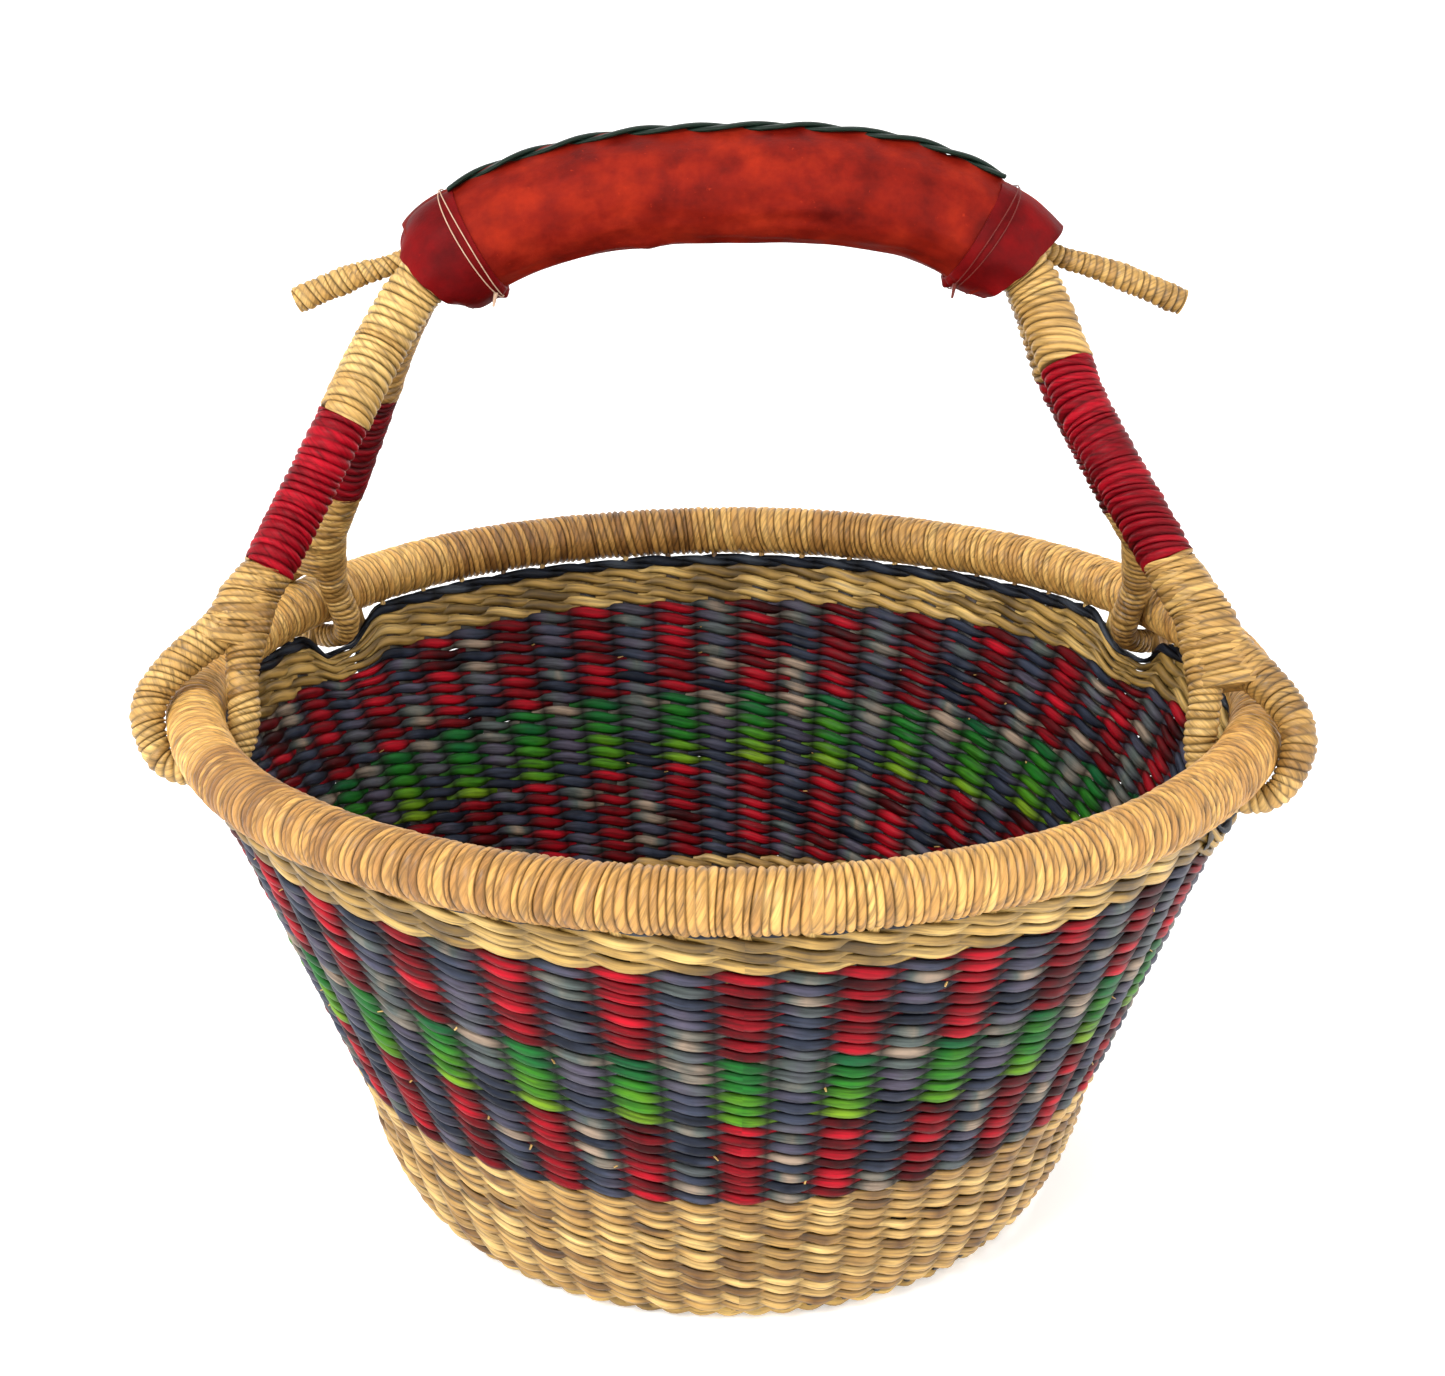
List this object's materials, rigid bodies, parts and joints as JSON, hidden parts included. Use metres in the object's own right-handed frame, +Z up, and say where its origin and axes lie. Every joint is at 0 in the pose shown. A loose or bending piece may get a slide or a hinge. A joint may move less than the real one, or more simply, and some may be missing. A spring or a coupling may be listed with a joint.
{
  "type": "woven market basket",
  "caption": "Round woven straw market basket with striped sides, a wrapped rim and a leather-covered double-bow carrying handle looped round the rim.",
  "frame": {"origin": "centre of the base, on the ground plane that the basket stands on", "axes": "+Z up, -Y towards the viewer's side (the front), +X to the right, along the handle's grip"},
  "size_m": [0.3971, 0.3996, 0.38],
  "materials": {
    "natural_straw": "dry satin straw, in twined strands and wrapped turns",
    "olive_straw": "dry satin straw, duller and greener",
    "red_straw": "dyed satin straw, twined or wrapped",
    "green_straw": "dyed satin straw, twined",
    "navy_straw": "dyed satin straw, twined",
    "leather": "dyed goat leather, mottled and finely creased",
    "collar_leather": "dyed goat leather, darker and gathered",
    "lacing": "dark cord",
    "thread": "plain thread"
  },
  "bodies": {
    "basket": {"base_disc": "natural_straw", "foot_braid": "olive_straw", "natural_band_lower": "natural_straw", "red_band_lower": "red_straw", "green_band": "green_straw", "red_band_upper": "red_straw", "natural_band_upper": "olive_straw", "locking_strand": "navy_straw", "stake_tips": "natural_straw", "rim_core": "natural_straw", "rim_wrap": "natural_straw"},
    "handle": {"front_bow_core": "natural_straw", "back_bow_core": "natural_straw", "front_left_natural_wrap": "natural_straw", "front_left_red_wrap": "red_straw", "front_left_loop_wrap": "natural_straw", "front_right_natural_wrap": "natural_straw", "front_right_red_wrap": "red_straw", "front_right_loop_wrap": "natural_straw", "back_left_natural_wrap": "natural_straw", "back_left_red_wrap": "red_straw", "back_left_loop_wrap": "natural_straw", "back_right_natural_wrap": "natural_straw", "back_right_red_wrap": "red_straw", "back_right_loop_wrap": "natural_straw", "grip_rod": "natural_straw", "horn_wrap_left": "natural_straw", "horn_wrap_right": "natural_straw", "leather_grip": "leather", "leather_collar_left": "collar_leather", "leather_collar_right": "collar_leather", "tie_thread_left": "thread", "tie_thread_right": "thread", "grip_lacing": "lacing"}
  },
  "joints": [
    {"name": "handle_rock", "type": "hinge", "parent": "basket", "child": "handle", "pos_m": [0, 0.0185, 0.1885], "axis": [1, 0, 0], "range_deg": [0, 1.4]}
  ]
}
